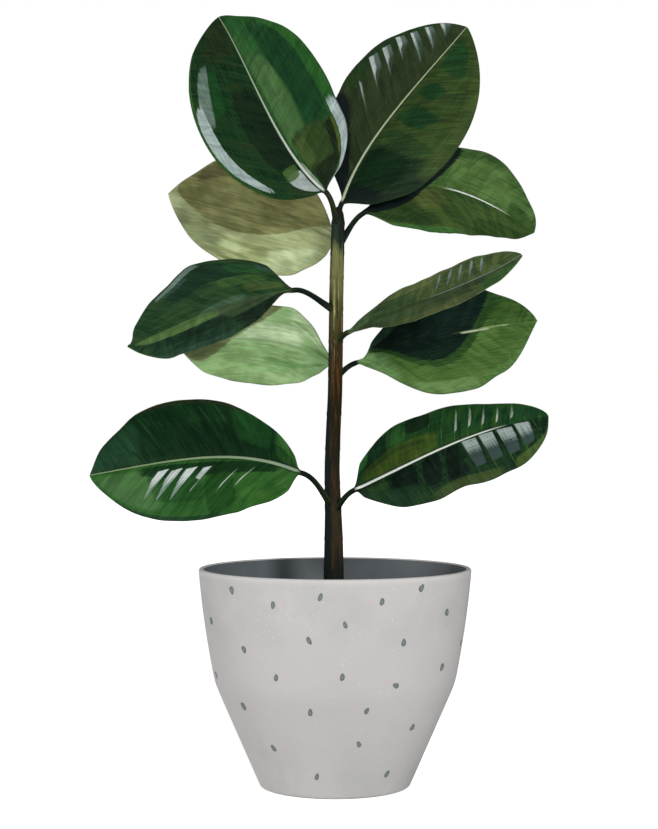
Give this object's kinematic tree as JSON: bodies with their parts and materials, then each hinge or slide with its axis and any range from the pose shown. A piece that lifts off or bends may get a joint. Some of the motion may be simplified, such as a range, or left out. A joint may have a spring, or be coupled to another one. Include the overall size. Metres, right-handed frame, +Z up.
{
  "type": "potted rubber plant",
  "caption": "Rubber plant with broad glossy leaves on one upright stem, growing in a tapered round ceramic pot.",
  "frame": {"origin": "centre of the pot's flat underside, on the surface that it stands on", "axes": "+Z up along the pot's axis; -Y is the front; +X is to the right seen from the front"},
  "size_m": [0.3562, 0.2473, 0.6264],
  "materials": {
    "pot_ceramic": "satin",
    "soil": "matte",
    "bark": "matte",
    "leaf": "gloss"
  },
  "bodies": {
    "root": {"pot": "pot_ceramic", "potting_soil": "soil", "stem": "bark", "leaf_top_left": "leaf", "leaf_top_right": "leaf", "leaf_upper_right": "leaf", "leaf_upper_left": "leaf", "leaf_middle_left": "leaf", "leaf_middle_right": "leaf", "leaf_middle_left_back": "leaf", "leaf_middle_right_back": "leaf", "leaf_lower_left": "leaf", "leaf_lower_right": "leaf"}
  },
  "joints": []
}
